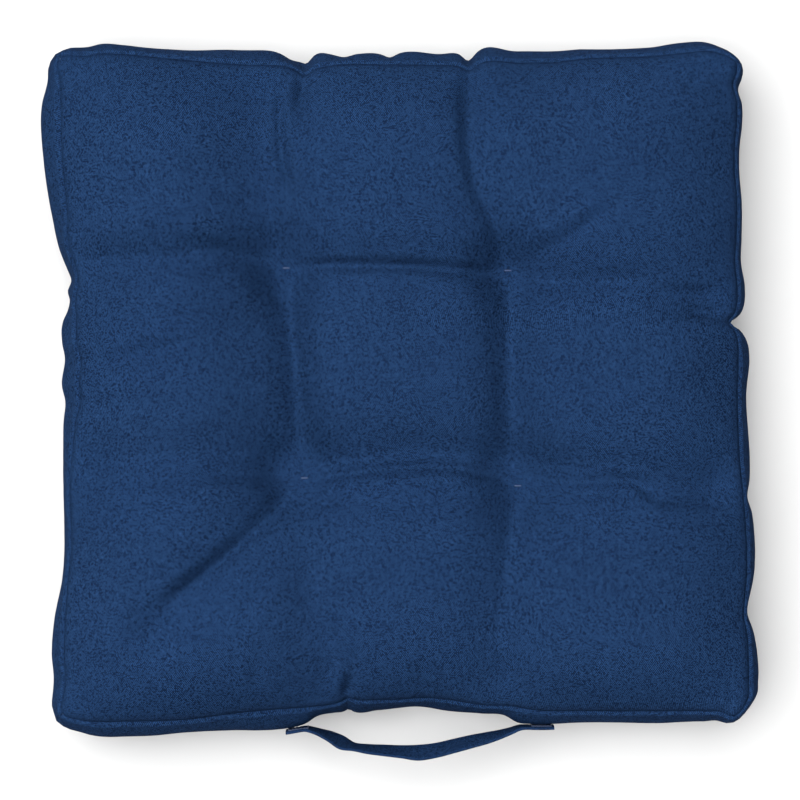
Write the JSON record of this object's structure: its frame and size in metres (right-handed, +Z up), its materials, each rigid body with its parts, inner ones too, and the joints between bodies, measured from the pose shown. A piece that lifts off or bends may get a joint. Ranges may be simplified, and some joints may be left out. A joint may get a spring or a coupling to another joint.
{
  "type": "floor cushion",
  "caption": "Square boxed floor cushion in navy canvas, tufted right through its fibre filling, with a carry handle on one side.",
  "frame": {"origin": "centre of the cushion's underside, where it rests on the floor", "axes": "+Z up, the wall with the carry handle faces -Y, +X to the right seen from above with the handle at the bottom"},
  "size_m": [0.502, 0.511, 0.112],
  "materials": {
    "cover_canvas": "matte",
    "strap_canvas": "matte",
    "thread": "satin",
    "fibre_filling": "matte"
  },
  "bodies": {
    "cushion": {"top_panel": "cover_canvas", "bottom_panel": "cover_canvas", "front_wall": "cover_canvas", "right_wall": "cover_canvas", "back_wall": "cover_canvas", "left_wall": "cover_canvas", "filling": "fibre_filling", "upper_seam_thread": "thread", "lower_seam_thread": "thread", "closing_seam_thread": "thread", "tuft_tie_front_left": "thread", "tuft_tie_front_right": "thread", "tuft_tie_back_left": "thread", "tuft_tie_back_right": "thread", "corner_seam_thread_front_left": "thread", "corner_seam_thread_front_right": "thread", "corner_seam_thread_back_left": "thread", "corner_seam_thread_back_right": "thread", "handle_end_left": "strap_canvas", "handle_end_right": "strap_canvas", "handle_stitches_left": "thread", "handle_stitches_right": "thread"},
    "handle": {"handle_loop": "strap_canvas"}
  },
  "joints": [
    {"name": "handle_swing", "type": "hinge", "parent": "cushion", "child": "handle", "pos_m": [0.014, -0.2455, 0.048], "axis": [1, 0, 0], "range_deg": [-60, 60]}
  ]
}
